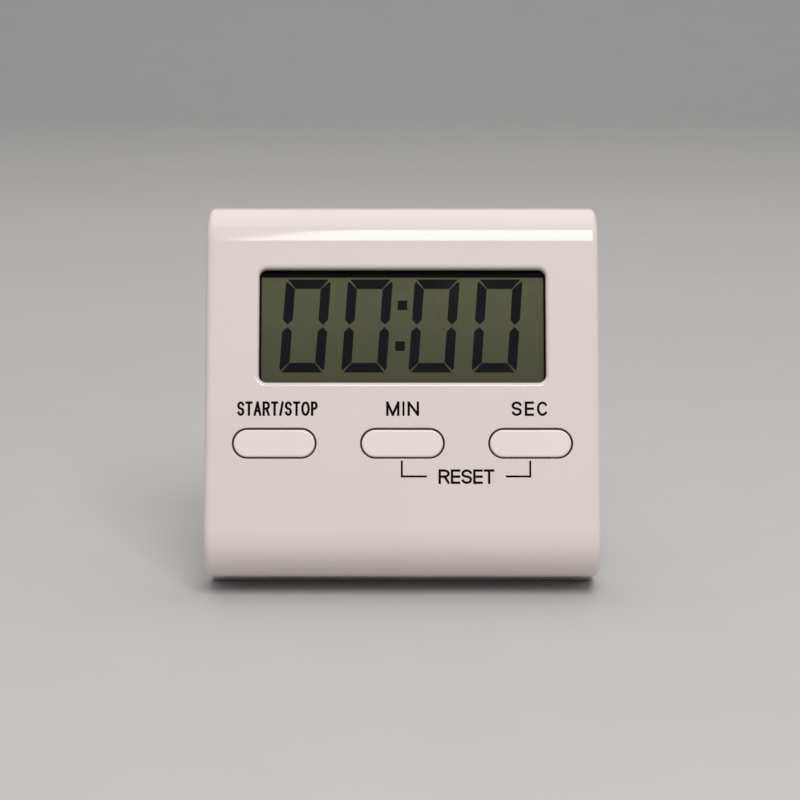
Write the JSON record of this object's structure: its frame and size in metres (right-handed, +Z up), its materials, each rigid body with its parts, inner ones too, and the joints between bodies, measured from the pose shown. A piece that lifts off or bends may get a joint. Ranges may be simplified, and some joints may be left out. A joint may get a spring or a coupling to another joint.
{
  "type": "lab timer",
  "caption": "Magnetic countdown timer with a segment display and press keys below it, leaning back on a fold-out U-shaped stand.",
  "frame": {"origin": "middle of the timer's footprint, on the surface it stands on", "axes": "+X to the right of the display, +Y towards the back, +Z up; the face leans back 20 degrees from upright"},
  "size_m": [0.065, 0.0436, 0.0617],
  "materials": {
    "case_plastic": "warm white ABS, high gloss",
    "cover_plastic": "warm white ABS, fine spark texture",
    "key_plastic": "warm white ABS, satin",
    "film": "grey-green display polariser film",
    "glass": "clear display glass",
    "reflector": "grey reflector film",
    "holder_plastic": "natural white plastic",
    "contact_rubber": "banded silicone strip",
    "board": "green solder mask",
    "epoxy": "black epoxy",
    "steel": "nickel-plated steel",
    "ceramic": "fired ceramic",
    "dome_rubber": "grey silicone rubber",
    "brass": "rolled brass",
    "red_wire": "red wire sleeve",
    "black_wire": "black wire sleeve",
    "battery_jacket": "plain dark battery jacket",
    "magnet_coat": "nickel-plated magnet"
  },
  "bodies": {
    "case": {"front_case": "case_plastic", "rear_cover": "cover_plastic", "start_stop_dome": "dome_rubber", "minute_dome": "dome_rubber", "second_dome": "dome_rubber", "lcd_polariser": "film", "lcd_front_glass": "glass", "lcd_rear_glass": "glass", "lcd_reflector": "reflector", "lcd_holder": "holder_plastic", "contact_strip": "contact_rubber", "circuit_board": "board", "chip_cover": "epoxy", "quartz_crystal": "steel", "capacitor_left": "ceramic", "capacitor_right": "ceramic", "resistor": "epoxy", "buzzer_disc": "brass", "buzzer_ceramic": "ceramic", "buzzer_wire_red": "red_wire", "buzzer_wire_black": "black_wire", "battery_wire_red": "red_wire", "battery_wire_black": "black_wire", "battery": "battery_jacket", "battery_spring": "steel", "negative_contact": "steel", "positive_contact": "steel", "magnet_left": "magnet_coat", "magnet_right": "magnet_coat", "case_screw_1": "steel", "case_screw_2": "steel", "case_screw_3": "steel", "case_screw_4": "steel", "board_screw_left": "steel", "board_screw_right": "steel"},
    "start_stop_key": {"start_stop_button": "key_plastic"},
    "minute_key": {"minute_button": "key_plastic"},
    "second_key": {"second_button": "key_plastic"},
    "stand": {"stand": "cover_plastic"},
    "battery_door": {"battery_door": "cover_plastic"}
  },
  "joints": [
    {"name": "start_stop_press", "type": "slide", "parent": "case", "child": "start_stop_key", "axis": [0, 0.9397, -0.342], "range_m": [0, 0.0008], "stiffness_N_per_m": 1000, "springref_m": -0.0004, "deforming": ["start_stop_dome"]},
    {"name": "minute_press", "type": "slide", "parent": "case", "child": "minute_key", "axis": [0, 0.9397, -0.342], "range_m": [0, 0.0008], "stiffness_N_per_m": 1000, "springref_m": -0.0004, "deforming": ["minute_dome"]},
    {"name": "second_press", "type": "slide", "parent": "case", "child": "second_key", "axis": [0, 0.9397, -0.342], "range_m": [0, 0.0008], "stiffness_N_per_m": 1000, "springref_m": -0.0004, "deforming": ["second_dome"]},
    {"name": "stand_fold", "type": "hinge", "parent": "case", "child": "stand", "pos_m": [0, -0.00245, 0.01892], "axis": [1, 0, 0], "range_deg": [0, 107.86]},
    {"name": "battery_door_swing", "type": "hinge", "parent": "case", "child": "battery_door", "pos_m": [0, -0.00751, 0.00209], "axis": [-1, 0, 0], "range_deg": [0, 90]}
  ]
}
